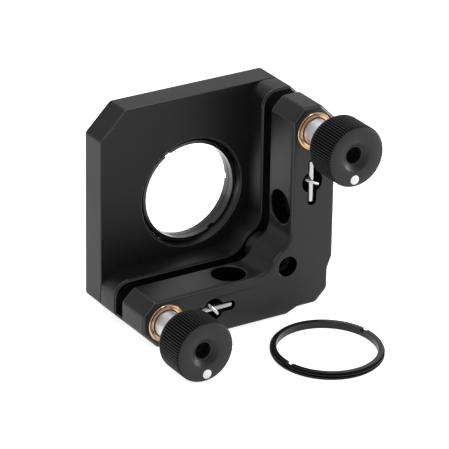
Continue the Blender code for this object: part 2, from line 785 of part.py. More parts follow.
def make_seats():
    """Flat, vee and cone seats, which hold the three balls without play or strain."""
    radius = SEAT_D / 2
    disc = [(0.0, 0.0), (radius, 0.0), (radius, SEAT_THICKNESS), (0.0, SEAT_THICKNESS)]
    flat = turned("flat_seat", disc, (TOP_ADJUSTER[0], RIDGE_REAR, TOP_ADJUSTER[1]), steps=SCREW_STEPS)
    vee = turned("vee_seat", disc, (SIDE_ADJUSTER[0], RIDGE_REAR, SIDE_ADJUSTER[1]), steps=SCREW_STEPS)
    toward_pivot = math.atan2(PIVOT[1] - SIDE_ADJUSTER[1], PIVOT[0] - SIDE_ADJUSTER[0])
    edge = SEAT_MOUTH * math.sqrt(2)
    groove = block("vee_groove", (2 * SEAT_D, edge, edge), (SIDE_ADJUSTER[0], RIDGE_REAR, SIDE_ADJUSTER[1]))
    along = Matrix.Rotation(-toward_pivot, 4, "Y") @ Matrix.Rotation(math.radians(45), 4, "X")
    groove.rotation_euler = along.to_euler()
    combine(vee, groove, "DIFFERENCE")
    cone = turned("cone_seat", disc, (PIVOT[0], RIDGE_REAR, PIVOT[1]), steps=SCREW_STEPS)
    socket = [(0.0, -OVERCUT), (SEAT_MOUTH + OVERCUT, -OVERCUT), (0.0, SEAT_MOUTH)]
    combine(cone, turned("cone_socket", socket, (PIVOT[0], RIDGE_REAR, PIVOT[1])), "DIFFERENCE")
    for seat in (flat, vee, cone):
        smooth(seat)
        bright_steel(seat)


def make_ring(name, place, axis, notch_angle, notch_at_front):
    """Retaining ring with two notches for a spanner."""
    inner = RING_R - RING_WIDTH
    profile = [(RING_R, 0.0), (RING_R, RING_THICKNESS), (inner, RING_THICKNESS), (inner, 0.0)]
    ring = turned(name, profile, place, axis, FINE_STEPS, ring=True)
    size = (2 * RING_R + OVERCUT, NOTCH_WIDTH, 2 * NOTCH_DEPTH)
    depth = RING_THICKNESS if notch_at_front else 0.0
    notch = block(name + "_notch", size, (0.0, 0.0, 0.0))
    turn = Matrix.Rotation(math.radians(notch_angle), 4, "Z")
    frame = Matrix.LocRotScale(Vector(place), ring.rotation_euler, None)
    notch.matrix_world = frame @ Matrix.Translation((0.0, 0.0, -depth)) @ turn
    combine(ring, notch, "DIFFERENCE")
    smooth(ring)
    black_anodised(ring)


def make_rings():
    """Two rings in the bore and the loose one that lies beside the mount."""
    rear_y = SLAB_REAR + RING_DEPTH
    front_y = rear_y + RING_THICKNESS + RING_SPACING
    along = (0, 1, 0)
    make_ring("rear_retaining_ring", (BORE[0], rear_y, BORE[1]), along, REAR_NOTCH_ANGLE, False)
    make_ring("front_retaining_ring", (BORE[0], front_y, BORE[1]), along, FRONT_NOTCH_ANGLE, True)
    x, y = SPARE_RING_PLACE
    table = Vector((x, y, KNOB_REST[1] + (y - KNOB_REST[0]) * TABLE_SLOPE))
    upright = Vector((0.0, -math.sin(TABLE_TILT), math.cos(TABLE_TILT)))
    top = table + upright * RING_THICKNESS
    make_ring("spare_retaining_ring", top, -upright, SPARE_NOTCH_ANGLE, False)


def make_pivot():
    """Pivot ball and the set screw that backs it."""
    make_ball("pivot_ball", PIVOT, SOCKET_BALL_Y)
    radius = PIVOT_HOLE_D / 2 - SEAT_FIT
    cupped_screw("pivot_set_screw", radius, BACK_REAR + PIVOT_SCREW_DEPTH, SOCKET_BALL_Y, PIVOT)


make_back_plate()
make_front_plate()
make_adjuster("top", TOP_ADJUSTER, FLAT_BALL_Y)
make_adjuster("side", SIDE_ADJUSTER, SOCKET_BALL_Y)
make_pivot()
make_seats()
make_pins("top", TOP_SPRING)
make_pins("side", SIDE_SPRING)
make_spring("top", TOP_SPRING, TOP_HOOK_ANGLE, 90.0)
make_spring("side", SIDE_SPRING, SIDE_HOOK_ANGLE, 0.0)
make_rings()
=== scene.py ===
"""Looks of the kinematic mirror mount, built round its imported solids.

Lengths are in metres, in the model's own frame: +Z is up, and +Y runs from the back plate to the front
plate. The rear of the mount, where its knobs are, is therefore at the low end of Y.
"""
import json
import math

import bmesh
import bpy
from mathutils import Matrix
from mathutils import Vector
from mathutils.bvhtree import BVHTree

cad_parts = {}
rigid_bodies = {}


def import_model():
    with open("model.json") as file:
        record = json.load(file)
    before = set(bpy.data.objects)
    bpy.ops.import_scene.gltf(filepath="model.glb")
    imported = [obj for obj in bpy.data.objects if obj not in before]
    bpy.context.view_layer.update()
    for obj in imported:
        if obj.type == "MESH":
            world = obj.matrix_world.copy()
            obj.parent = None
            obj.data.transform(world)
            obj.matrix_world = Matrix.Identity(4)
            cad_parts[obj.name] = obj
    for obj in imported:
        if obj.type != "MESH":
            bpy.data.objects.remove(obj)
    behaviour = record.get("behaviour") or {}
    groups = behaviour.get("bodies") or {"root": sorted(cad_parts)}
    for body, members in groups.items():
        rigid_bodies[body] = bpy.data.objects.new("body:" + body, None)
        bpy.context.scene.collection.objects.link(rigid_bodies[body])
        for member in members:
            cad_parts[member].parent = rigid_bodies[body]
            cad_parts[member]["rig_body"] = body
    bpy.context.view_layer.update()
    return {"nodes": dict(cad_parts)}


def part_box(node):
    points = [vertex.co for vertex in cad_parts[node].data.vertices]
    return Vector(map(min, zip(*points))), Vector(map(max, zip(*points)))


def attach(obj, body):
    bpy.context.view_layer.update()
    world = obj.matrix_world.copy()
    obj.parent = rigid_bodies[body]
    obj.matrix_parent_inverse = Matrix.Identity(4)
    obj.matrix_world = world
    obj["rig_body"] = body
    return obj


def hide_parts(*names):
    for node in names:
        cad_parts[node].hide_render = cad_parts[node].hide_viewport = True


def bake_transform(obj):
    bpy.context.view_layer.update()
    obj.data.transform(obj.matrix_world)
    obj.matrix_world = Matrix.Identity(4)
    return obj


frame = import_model()

MM = 0.001

# The photograph's view: the camera's direction, its focal length in pixels of a square frame, the point it
# faces, and how far it is moved right and up from that point and away from it
CAMERA_AZIMUTH = math.radians(-32.13)
CAMERA_ELEVATION = math.radians(24.72)
CAMERA_ROLL = math.radians(0.91)
CAMERA_FOCAL_PIXELS = 3464.7
CAMERA_FRAME_PIXELS = 449
CAMERA_SENSOR_MM = 36.0
CAMERA_LOOK_AT = Vector((4.05, 9.91, 25.4)) * MM
CAMERA_RIGHT = 4.11 * MM
CAMERA_UP = -4.80 * MM
CAMERA_DISTANCE = 793.3 * MM

# Light: the world's strength at a low and a high direction, and each lamp's place, size and power in watts
WHITE = (1.0, 1.0, 1.0, 1.0)
WORLD_LOW_Z = -0.6
WORLD_HIGH_Z = 1.0
WORLD_LOW = 0.72
WORLD_HIGH = 0.74
LAMP_TARGET = (0.0, 0.0, 0.02)
LAMPS = {
    "top": ((0.05, 0.1, 1.0), 0.6, 4.0),
    "right": ((0.95, -0.35, 0.13), 0.2, 6.4),
    "rim": ((0.5, 0.9, 0.5), 0.5, 0.35),
}

# Finishes: grain and clouds of the noise, the clouds' share, the noise's useful range and the bump's height
NO_STREAK = (1.0, 1.0, 1.0)
GRAIN_DETAIL = 3.0
GRAIN_ROUGHNESS = 0.6
CLOUD_SCALE = 90.0
CLOUD_DETAIL = 2.0
CLOUD_ROUGHNESS = 0.5
CLOUD_SHARE = 0.45
NOISE_LOW = 0.25
NOISE_HIGH = 0.75
BUMP_HEIGHT = 0.02 * MM

# Meshes: points closer than the weld become one, and edges sharper than the soft angle are shaded as edges
WELD = 0.002 * MM
WIRE_WELD = 0.001 * MM
SOFT_ANGLE = math.radians(32)
TURN_STEPS = 96
EDGE_BREAK = 0.12 * MM

# Plates: how wide their edges are broken. An edge is in the outline if its run reaches this far in X, and
# inside edges get a share of the others' width. Points within the snap of a flat end are put on it, and
# edges flatter than the flat angle are removed.
EDGE_BEVEL = 0.13 * MM
OUTLINE_BEVEL = 0.25 * MM
OUTLINE_REACH = 15.0 * MM
INSIDE_EDGE_SHARE = 0.3
BEVEL_SEGMENTS = 2
BROKEN_EDGE_ANGLE = math.radians(31)
INSIDE_BEND = math.radians(6)
FLAT_SNAP = 0.005 * MM
FLAT_ANGLE = math.radians(0.5)
SHADING_WEIGHT = 90

# Plates: slots for the plain finish, the painted edge highlight and painted shade. Painted shade goes on a
# hole's wall that faces another wall within its reach, and on a gap face that is turned toward the other
# plate
PLAIN_SLOT = 0
EDGE_HIGHLIGHT_SLOT = 1
PAINTED_SHADE_SLOT = 2
HOLE_START = 0.01 * MM
HOLE_REACH = 9.0 * MM
GAP_REACH = 0.05 * MM
GAP_TURN = 0.9

# The milled line between the front plate's slab and its ridge, pressed only into faces not turned along Y
# Its faces get painted shade, the near-black material
SEAM_WIDTH = 0.34 * MM
SEAM_DEPTH = 0.25 * MM
SEAM_CUT = 0.0001 * MM
SEAM_MATCH = 0.0005 * MM
SEAM_TURN = 0.3

# Grooves, whose roots get painted shade: how far past its root a groove is looked for, and the share of Y
# in a face's normal from which the face keeps the plain finish
GROOVE_MARGIN = 0.02 * MM
GROOVE_TURN = 0.95
KNURL_TURN = 0.2

# Threads: the shares of a pitch at which the lines of a thread lie, and which of them are on its crest
THREAD_LINES = (0.0, 0.3, 0.55, 0.85)
CREST_LINES = (1, 2)

# Adjuster screws and the pivot's set screw: fine thread, hex socket, chamfered ends and a cup for the ball
SCREW_R = 3.175 * MM
SCREW_PITCH = 0.3175 * MM
SCREW_THREAD_DEPTH = 0.03 * MM
SCREW_THREAD_INSET = 0.6 * MM
SCREW_STEPS = 48
HEX_ACROSS = 2.0 * MM
HEX_DEPTH = 2.5 * MM
HEX_CHAMFER = 0.2 * MM
HEX_FLOOR = 0.1 * MM
HEX_MARGIN = 0.01 * MM
HEAD_CHAMFER = 0.25 * MM
HEAD_CHAMFER_Y = 0.2 * MM
TIP_CHAMFER = 0.12 * MM
TIP_CHAMFER_Y = 0.25 * MM
CUP_RISE = 0.8 * MM
CUP_R = CUP_RISE * 2.6
# How far past the socket the rear end gets painted shade
PAINTED_SHADE_END = 1.0 * MM
SET_SCREW_R = 2.4 * MM
SET_SCREW_THREAD_INSET = 0.3 * MM

# Bushings, with a fine groove in the rear end, whose outer edge and mouth are shares of the chamfer
BUSHING_R = 4.55 * MM
BUSHING_BORE_R = 3.225 * MM
BUSHING_CHAMFER = 0.35 * MM
BUSHING_EDGE_IN = 0.35
BUSHING_EDGE_UP = 0.18
BUSHING_EDGE_END = 0.7
BUSHING_MOUTH = 0.6
BUSHING_MOUTH_UP = 0.1
BUSHING_GROOVE_INSET = 0.5 * MM
BUSHING_GROOVE_WIDTH = 0.16 * MM
BUSHING_GROOVE_DEPTH = 0.2 * MM
BUSHING_GROOVE_LIP = 0.05 * MM
# How far inside the bore the mouth's painted shade reaches
BUSHING_MOUTH_MARGIN = 0.1 * MM

# Knobs, with a dish and a hole for a hex key in the face
KNOB_R = 7.34 * MM
KNOB_FACE_CHAMFER = 0.35 * MM
KNOB_RIM_SHARE = 1.2
KNOB_SHOULDER = 0.7 * MM
KNOB_RAMP = 1.3 * MM
KNOB_STEP = 1.3 * MM
KNOB_BORE_R = 3.275 * MM
KNOB_GRIP = 6.0 * MM
KNOB_HOLE_R = 1.95 * MM
KNOB_HOLE_CONE = 0.1 * MM
KNOB_DISH_R = 3.6 * MM
KNOB_DISH_LIP = 0.35 * MM
KNOB_DISH_DEPTH = 1.1 * MM
KNOB_DISH_EDGE = EDGE_BREAK * 0.6

# Knurling: a groove's half width as a share of a tooth, and how much steeper than a plain vee its walls are
KNURL_TEETH = 72
KNURL_DEPTH = 0.34 * MM
KNURL_POINTS = 8
KNURL_GROOVE_SHARE = 0.38
KNURL_STEEPNESS = 1.8

# White index dots on the knobs' faces, each turned a little from straight down
INDEX_DOT_R = 1.1 * MM
INDEX_DOT_PLACE_R = 5.5 * MM
INDEX_DOT_TURN = {"top": math.radians(-3.0), "side": math.radians(5.0)}
INDEX_DOT_RISE = 0.02 * MM
INDEX_DOT_SINK = 0.03 * MM
INDEX_DOT_EDGE = 0.06 * MM
INDEX_DOT_STEPS = 48

# Springs: a coil between two hooks, whose angles are about Y. A tail is rounded in two steps, each given by
# how far past the wire's end it lies and how thick it is, as shares of the wire's radius.
WIRE_R = 0.375 * MM
WIRE_ROUNDNESS = 6
COIL_R = 1.825 * MM
COIL_STEPS = 28
SPRING_TURNS = 8
SPRING_START_Y = 0.8 * MM
SPRING_END_Y = 10.05 * MM
HOOK_CLEARANCE = 0.1 * MM
HOOK_BEND = 0.9 * MM
HOOK_TAIL = 0.9 * MM
HOOK_STEPS = 8
REAR_HOOK_ANGLE = {"top": math.radians(-27.0), "side": math.radians(-50.0)}
FRONT_HOOK_ANGLE = {"top": math.radians(90), "side": 0.0}
TAIL_ROUNDING = ((0.6, 0.8), (0.95, 0.35))

# Balls and spring pins
BALL_ROUNDNESS = 4
PIN_R = 0.725 * MM
PIN_ROUNDING = 0.16 * MM
PIN_ROUNDING_STEPS = 4
PIN_STEPS = 32
REAR_PIN_Y = -3.95 * MM
FRONT_PIN_Y = 13.25 * MM

# Retaining rings and the bore's thread
RING_THREAD_PITCH = 0.635 * MM
BORE_R = 13.2 * MM
BORE_WALL_GAP = 0.02 * MM
BORE_ROOT_GAP = 0.08 * MM
BORE_THREAD_CREST_R = 12.85 * MM
BORE_THREAD_INSET = 0.35 * MM
BORE_FLARE_DEPTH = 2.0 * MM
RING_IN_BORE_R = 12.78 * MM
SPARE_RING_R = 13.1 * MM
RING_HOLE_R = 11.6 * MM
RING_THICKNESS = 1.78 * MM
RING_CHAMFER = 0.1 * MM
RING_THREAD_DEPTH = 0.3 * MM
NOTCH_WIDTH = 1.5 * MM
NOTCH_DEPTH = 0.7 * MM
NOTCH_OVERHANG = 1.0 * MM
NOTCH_ANGLE = {"rear": math.radians(120.0), "front": 0.0, "spare": math.radians(-12.7)}
RING_STEPS = 128

# The mount stands on the side knob's grip and on the front plate's lower front edge. The rear ring's face
# lies the inset deep in the slab.
SLAB_BEVEL = 0.3 * MM
SLAB_INSET = 1.0 * MM
SIDE_KNOB_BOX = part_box("side_knob")
GRIP_END_Y = SIDE_KNOB_BOX[1].y - KNOB_SHOULDER - KNOB_RAMP
TABLE_SLOPE = -SIDE_KNOB_BOX[0].z / (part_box("front_plate")[1].y - SLAB_BEVEL - GRIP_END_Y)
TABLE_TILT = math.atan(TABLE_SLOPE)
BACK_PLATE_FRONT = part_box("back_plate")[1].y
RIDGE_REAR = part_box("front_plate")[0].y
SLAB_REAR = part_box("rear_retaining_ring")[0].y - SLAB_INSET

# Floor, just under the mount
FLOOR_DROP = 0.02 * MM
FLOOR_SIZE = 3.0
FLOOR_GLOW = 0.8
FLOOR_COLOUR = (0.85, 0.85, 0.85, 1.0)
FLOOR_ROUGHNESS = 0.9
FLOOR_SPECULAR = 0.1


def make_camera():
    """The photograph's view."""
    sine = math.sin(CAMERA_AZIMUTH)
    cosine = math.cos(CAMERA_AZIMUTH)
    level = math.cos(CAMERA_ELEVATION)
    right = Vector((cosine, sine, 0.0))
    back = Vector((sine * level, -cosine * level, math.sin(CAMERA_ELEVATION)))
    up = back.cross(right)
    rolled_right = right * math.cos(CAMERA_ROLL) + up * math.sin(CAMERA_ROLL)
    rolled_up = up * math.cos(CAMERA_ROLL) - right * math.sin(CAMERA_ROLL)
    data = bpy.data.cameras.new("camera")
    data.sensor_width = CAMERA_SENSOR_MM
    data.lens = CAMERA_FOCAL_PIXELS / CAMERA_FRAME_PIXELS * CAMERA_SENSOR_MM
    camera = bpy.data.objects.new("camera", data)
    place = CAMERA_LOOK_AT + rolled_right * CAMERA_RIGHT + rolled_up * CAMERA_UP + back * CAMERA_DISTANCE
    turn = Matrix((rolled_right, rolled_up, back)).transposed()
    camera.matrix_world = Matrix.Translation(place) @ turn.to_4x4()
    bpy.context.scene.collection.objects.link(camera)
    bpy.context.scene.camera = camera


def add_node(tree, kind, **values):
    """A node with some of its inputs set by name."""
    node = tree.nodes.new(kind)
    for name, value in values.items():
        node.inputs[name.replace("_", " ")].default_value = value
    return node


def seen_by(tree, first, second):
    """Output that is 1 for two kinds of ray and 0 for all others."""
    rays = tree.nodes.new("ShaderNodeLightPath")
    either = tree.nodes.new("ShaderNodeMath")
    either.operation = "MAXIMUM"
    tree.links.new(rays.outputs[first], either.inputs[0])
    tree.links.new(rays.outputs[second], either.inputs[1])
    return either.outputs[0]


def make_world():
    """White background for what the camera sees, and a softer, nearly even light for everything else."""
    world = bpy.data.worlds.new("studio")
    bpy.context.scene.world = world
    world.use_nodes = True
    tree = world.node_tree
    tree.nodes.clear()
    direction = tree.nodes.new("ShaderNodeTexCoord")
    split = tree.nodes.new("ShaderNodeSeparateXYZ")
    tree.links.new(direction.outputs["Generated"], split.inputs[0])
    ramp = add_node(tree, "ShaderNodeMapRange", From_Min=WORLD_LOW_Z, From_Max=WORLD_HIGH_Z)
    ramp.inputs["To Min"].default_value = WORLD_LOW
    ramp.inputs["To Max"].default_value = WORLD_HIGH
    tree.links.new(split.outputs["Z"], ramp.inputs["Value"])
    soft = add_node(tree, "ShaderNodeBackground", Color=WHITE)
    tree.links.new(ramp.outputs["Result"], soft.inputs["Strength"])
    white = add_node(tree, "ShaderNodeBackground", Color=WHITE, Strength=1.0)
    mix = tree.nodes.new("ShaderNodeMixShader")
    tree.links.new(seen_by(tree, "Is Camera Ray", "Is Transmission Ray"), mix.inputs[0])
    tree.links.new(soft.outputs[0], mix.inputs[1])
    tree.links.new(white.outputs[0], mix.inputs[2])
    output = tree.nodes.new("ShaderNodeOutputWorld")
    tree.links.new(mix.outputs[0], output.inputs["Surface"])


def make_lamp(name, place, size, power):
    """A square soft lamp that points at the mount."""
    data = bpy.data.lights.new(name, "AREA")
    data.shape = "SQUARE"
    data.size = size
    data.energy = power
    lamp = bpy.data.objects.new(name, data)
    lamp.location = place
    lamp.rotation_euler = (Vector(place) - Vector(LAMP_TARGET)).to_track_quat("Z", "Y").to_euler()
    bpy.context.scene.collection.objects.link(lamp)


def make_floor():
    """Plain floor that glows white for the camera and in reflections, under a faint soft shadow."""
    mesh = bpy.data.meshes.new("floor")
    half = FLOOR_SIZE / 2
    rise = half * TABLE_SLOPE
    middle_z = SIDE_KNOB_BOX[0].z - GRIP_END_Y * TABLE_SLOPE - FLOOR_DROP
    near = middle_z - rise
    far = middle_z + rise
    corners = [(-half, -half, near), (half, -half, near), (half, half, far), (-half, half, far)]
    mesh.from_pydata(corners, [], [(0, 1, 2, 3)])
    floor = bpy.data.objects.new("floor", mesh)
    bpy.context.scene.collection.objects.link(floor)
    material = bpy.data.materials.new("floor")
    material.use_nodes = True
    tree = material.node_tree
    shader = tree.nodes["Principled BSDF"]
    shader.inputs["Base Color"].default_value = FLOOR_COLOUR
    shader.inputs["Roughness"].default_value = FLOOR_ROUGHNESS
    shader.inputs["Specular IOR Level"].default_value = FLOOR_SPECULAR
    shader.inputs["Emission Color"].default_value = WHITE
    glow = tree.nodes.new("ShaderNodeMath")
    glow.operation = "MULTIPLY"
    glow.inputs[1].default_value = FLOOR_GLOW
    tree.links.new(seen_by(tree, "Is Camera Ray", "Is Glossy Ray"), glow.inputs[0])
    tree.links.new(glow.outputs[0], shader.inputs["Emission Strength"])
    mesh.materials.append(material)


def grey(dark, light):
    """The two greys between which a finish's colour wanders."""
    return (dark, dark, dark), (light, light, light)


def add_noise(tree, scale, detail, roughness, place):
    """Output of a noise that is laid out by the output place."""
    noise = add_node(tree, "ShaderNodeTexNoise", Scale=scale, Detail=detail, Roughness=roughness)
    tree.links.new(place, noise.inputs["Vector"])
    return noise.outputs[0]


def finish_material(
    name, colours, roughness, metallic=0.0, speckle=2600.0, bump=0.0, specular=0.5, streak=NO_STREAK
):
    """A material whose colour and roughness wander between two values, with a fine bump.

    colours and roughness are pairs, speckle is the grain in waves per metre, and streak stretches the grain
    along each axis, as turning or grinding does.
    """
    material = bpy.data.materials.new(name)
    material.use_nodes = True
    tree = material.node_tree
    shader = tree.nodes["Principled BSDF"]
    shader.inputs["Metallic"].default_value = metallic
    shader.inputs["Specular IOR Level"].default_value = specular
    place = tree.nodes.new("ShaderNodeTexCoord")
    stretch = tree.nodes.new("ShaderNodeMapping")
    stretch.inputs["Scale"].default_value = streak
    tree.links.new(place.outputs["Object"], stretch.inputs["Vector"])
    grain = add_noise(tree, speckle, GRAIN_DETAIL, GRAIN_ROUGHNESS, stretch.outputs[0])
    cloud = add_noise(tree, CLOUD_SCALE, CLOUD_DETAIL, CLOUD_ROUGHNESS, place.outputs["Object"])
    both = tree.nodes.new("ShaderNodeMix")
    both.inputs["Factor"].default_value = CLOUD_SHARE
    tree.links.new(grain, both.inputs[2])
    tree.links.new(cloud, both.inputs[3])
    tint = tree.nodes.new("ShaderNodeMix")
    tint.data_type = "RGBA"
    tint.inputs[6].default_value = (*colours[0], 1.0)
    tint.inputs[7].default_value = (*colours[1], 1.0)
    tree.links.new(both.outputs[0], tint.inputs["Factor"])
    tree.links.new(tint.outputs[2], shader.inputs["Base Color"])
    rough = add_node(tree, "ShaderNodeMapRange", From_Min=NOISE_LOW, From_Max=NOISE_HIGH)
    rough.inputs["To Min"].default_value = roughness[0]
    rough.inputs["To Max"].default_value = roughness[1]
    tree.links.new(both.outputs[0], rough.inputs["Value"])
    tree.links.new(rough.outputs["Result"], shader.inputs["Roughness"])
    if bump:
        relief = add_node(tree, "ShaderNodeBump", Strength=bump, Distance=BUMP_HEIGHT)
        tree.links.new(grain, relief.inputs["Height"])
        tree.links.new(relief.outputs[0], shader.inputs["Normal"])
    return material


# Two copies of black anodising: the front plate's darker one paints the shade that falls on its slab
ANODISED = finish_material("black_anodised", grey(0.007, 0.011), (0.38, 0.46), bump=0.3, specular=0.27)
ANODISED_DARKER_FOR_SHADE = finish_material(
    "black_anodised_darker_for_shade", grey(0.005, 0.008), (0.38, 0.46), bump=0.3, specular=0.22
)
# Near-black anodising that paints shade into hole walls, the plates' gap, the seam and groove roots
ANODISED_PAINTED_SHADE = finish_material(
    "black_anodised_painted_shade", grey(0.001, 0.002), (0.6, 0.7), bump=0.3, specular=0.05
)
# Lighter, shinier anodising on the plates' bevels, a painted highlight along their edges
EDGE_HIGHLIGHT = finish_material("black_anodised_edge_highlight", grey(0.02, 0.035), (0.34, 0.42), bump=0.2, specular=0.4)
KNOB_BLACK = finish_material("knob_black", grey(0.007, 0.011), (0.42, 0.55), bump=0.3, specular=0.28)
BORE_BLACK = finish_material("bore_black", grey(0.006, 0.009), (0.18, 0.26), bump=0.1, specular=0.5)
RING_BLACK = finish_material("ring_black", grey(0.005, 0.008), (0.26, 0.36), bump=0.2, specular=0.28)
# Black oxide is the pivot set screw's own finish, and also paints shade on the adjuster screws' rear ends
BLACK_OXIDE_AND_SHADE = finish_material("black_oxide", grey(0.006, 0.010), (0.5, 0.65), bump=0.3, specular=0.12)
BRONZE = finish_material(
    "bronze", ((0.46, 0.29, 0.16), (0.62, 0.43, 0.27)), (0.15, 0.21), metallic=1.0, speckle=400.0
)
GROUND_STEEL = finish_material(
    "ground_steel",
    ((0.68, 0.70, 0.72), (0.82, 0.84, 0.86)),
    (0.40, 0.48),
    metallic=1.0,
    speckle=2400.0,
    streak=(0.02, 1.0, 0.02),
)
SPRING_STEEL = finish_material(
    "spring_steel",
    ((0.36, 0.36, 0.35), (0.46, 0.46, 0.45)),
    (0.24, 0.34),
    metallic=1.0,
    speckle=1800.0,
    bump=0.1,
)
POLISHED_STEEL = finish_material(
    "polished_steel", ((0.66, 0.66, 0.66), (0.74, 0.74, 0.73)), (0.06, 0.12), metallic=1.0, speckle=1200.0
)
INDEX_WHITE = finish_material(
    "index_white", ((0.80, 0.80, 0.79), (0.86, 0.86, 0.85)), (0.45, 0.6), bump=0.2
)


def new_object(name, bm, material):
    """An object from a finished bmesh, with its round faces shaded smooth."""
    mesh = bpy.data.meshes.new(name)
    bmesh.ops.recalc_face_normals(bm, faces=bm.faces)
    bm.to_mesh(mesh)
    bm.free()
    mesh.shade_smooth()
    mesh.set_sharp_from_angle(angle=SOFT_ANGLE)
    mesh.materials.append(material)
    obj = bpy.data.objects.new(name, mesh)
    bpy.context.scene.collection.objects.link(obj)
    return obj


def apply_modifiers(obj):
    """Turn what the modifiers show into the object's own mesh."""
    bpy.context.view_layer.update()
    mesh = bpy.data.meshes.new_from_object(obj.evaluated_get(bpy.context.evaluated_depsgraph_get()))
    obj.modifiers.clear()
    obj.data = mesh
    mesh.shade_smooth()
    mesh.set_sharp_from_angle(angle=SOFT_ANGLE)


def settle(obj, body, nodes=()):
    """Let a piece ride on a body and the solids that it stands for."""
    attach(obj, body)
    if nodes:
        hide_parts(*nodes)


def middle(node):
    """Middle of a solid's box."""
    low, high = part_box(node)
    return (low + high) / 2


def revolved(bm, profile, steps, shape=None, ring=False):
    """Add a turned skin about the Y axis to a bmesh.

    profile is points of radius and y, shape may change a radius by its angle, and ring joins the last point
    to the first.
    """
    loops = []
    for radius, y in profile:
        if radius <= 0.0:
            loops.append([bm.verts.new((0.0, y, 0.0))])
            continue
        loop = []
        for step in range(steps):
            angle = math.tau * step / steps
            r = shape(radius, angle) if shape else radius
            loop.append(bm.verts.new((r * math.cos(angle), y, r * math.sin(angle))))
        loops.append(loop)
    if ring:
        loops.append(loops[0])
    for first, second in zip(loops, loops[1:]):
        for step in range(steps):
            after = step + 1
            corners = [first[step % len(first)], first[after % len(first)]]
            corners += [second[after % len(second)], second[step % len(second)]]
            bm.faces.new(list(dict.fromkeys(corners)))


def thread_rows(start, end, root_r, crest_r, pitch, steps):
    """Rows of points of a helical thread about the Y axis, which runs out to the root at both ends."""
    turns = math.ceil((end - start) / pitch) + 2
    rows = []
    for row in range(turns * len(THREAD_LINES)):
        turn, part = divmod(row, len(THREAD_LINES))
        points = []
        for step in range(steps + 1):
            y = start + pitch * (turn - 1 + THREAD_LINES[part] + step / steps)
            inside = min(max(y, start), end)
            fade = min(1.0, (inside - start) / (pitch / 2), (end - inside) / (pitch / 2))
            crest = crest_r if part in CREST_LINES else root_r
            r = root_r + (crest - root_r) * max(0.0, fade)
            angle = math.tau * step / steps
            points.append((r * math.cos(angle), inside, r * math.sin(angle)))
        rows.append(points)
    return rows


def add_thread(bm, start, end, root_r, crest_r, pitch, steps):
    """Add a threaded skin about the Y axis to a bmesh, with a plain circle at each end."""
    rows = thread_rows(start, end, root_r, crest_r, pitch, steps)
    grid = [[bm.verts.new(point) for point in row] for row in rows]
    for first, second in zip(grid, grid[1:]):
        for step in range(steps):
            corners = (first[step], first[step + 1], second[step + 1], second[step])
            bm.faces.new(corners)
    bmesh.ops.remove_doubles(bm, verts=bm.verts, dist=WELD)


def plain_inside_edges(mesh):
    """Give the plate's own finish, in place of the painted highlight, to the bevels along inside edges."""
    bm = bmesh.new()
    bm.from_mesh(mesh)
    for face in bm.faces:
        bends = [edge.calc_face_angle_signed(0.0) for edge in face.edges]
        if face.material_index == EDGE_HIGHLIGHT_SLOT and min(bends) < -INSIDE_BEND:
            face.material_index = PLAIN_SLOT
    bm.to_mesh(mesh)
    bm.free()


def cut_seam(mesh, seam_y):
    """Press a thin line into the outside where the slab and its ridge were milled from two sides."""
    bm = bmesh.new()
    bm.from_mesh(mesh)
    for y in (seam_y - SEAM_WIDTH / 2, seam_y, seam_y + SEAM_WIDTH / 2):
        geometry = bm.verts[:] + bm.edges[:] + bm.faces[:]
        place = (0.0, y, 0.0)
        bmesh.ops.bisect_plane(bm, geom=geometry, dist=SEAM_CUT, plane_co=place, plane_no=(0.0, 1.0, 0.0))
    bm.normal_update()
    line = [v for v in bm.verts if abs(v.co.y - seam_y) < SEAM_MATCH]
    line = [v for v in line if max(abs(face.normal.y) for face in v.link_faces) < SEAM_TURN]
    # Painted shade on the faces along the line
    for vert in line:
        for face in vert.link_faces:
            face.material_index = PAINTED_SHADE_SLOT
    inward = [(vert, vert.normal * SEAM_DEPTH) for vert in line]
    for vert, step in inward:
        vert.co -= step
    bm.to_mesh(mesh)
    bm.free()
    mesh.set_sharp_from_angle(angle=SOFT_ANGLE)


def paint_shade_in_roots(mesh, centre, inner, outer, steepest=GROOVE_TURN):
    """Paint shade onto the grooves between two radii, except for faces turned along Y."""
    mesh.materials.append(ANODISED_PAINTED_SHADE)
    for face in mesh.polygons:
        radius = math.hypot(face.center.x - centre.x, face.center.z - centre.z)
        if inner < radius < outer and abs(face.normal.y) < steepest:
            face.material_index = len(mesh.materials) - 1


def paint_shade_in_holes(bm):
    """Paint shade onto the walls of narrow holes, which face another wall close by."""
    walls = BVHTree.FromBMesh(bm)
    for face in bm.faces:
        start = face.calc_center_median() + face.normal * HOLE_START
        if walls.ray_cast(start, face.normal, HOLE_REACH)[0] is not None:
            # Painted shade on a wall that faces another wall
            face.material_index = PAINTED_SHADE_SLOT


def edge_runs(edges):
    """Sort edges into runs that hang together."""
    left = set(edges)
    runs = []
    while left:
        run = []
        front = [left.pop()]
        while front:
            edge = front.pop()
            run.append(edge)
            touching = [other for vert in edge.verts for other in vert.link_edges if other in left]
            for other in touching:
                if other in left:
                    left.remove(other)
                    front.append(other)
        runs.append(run)
    return runs


def clean_solid(node):
    """A bmesh of a solid with joined points, level flat faces and no needless edges."""
    bm = bmesh.new()
    bm.from_mesh(frame["nodes"][node].data)
    bmesh.ops.remove_doubles(bm, verts=bm.verts, dist=WELD)
    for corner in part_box(node):
        for vert in bm.verts:
            if abs(vert.co.y - corner.y) < FLAT_SNAP:
                vert.co.y = corner.y
    bmesh.ops.dissolve_limit(bm, angle_limit=FLAT_ANGLE, verts=bm.verts, edges=bm.edges)
    bmesh.ops.triangulate(bm, faces=bm.faces)
    return bm


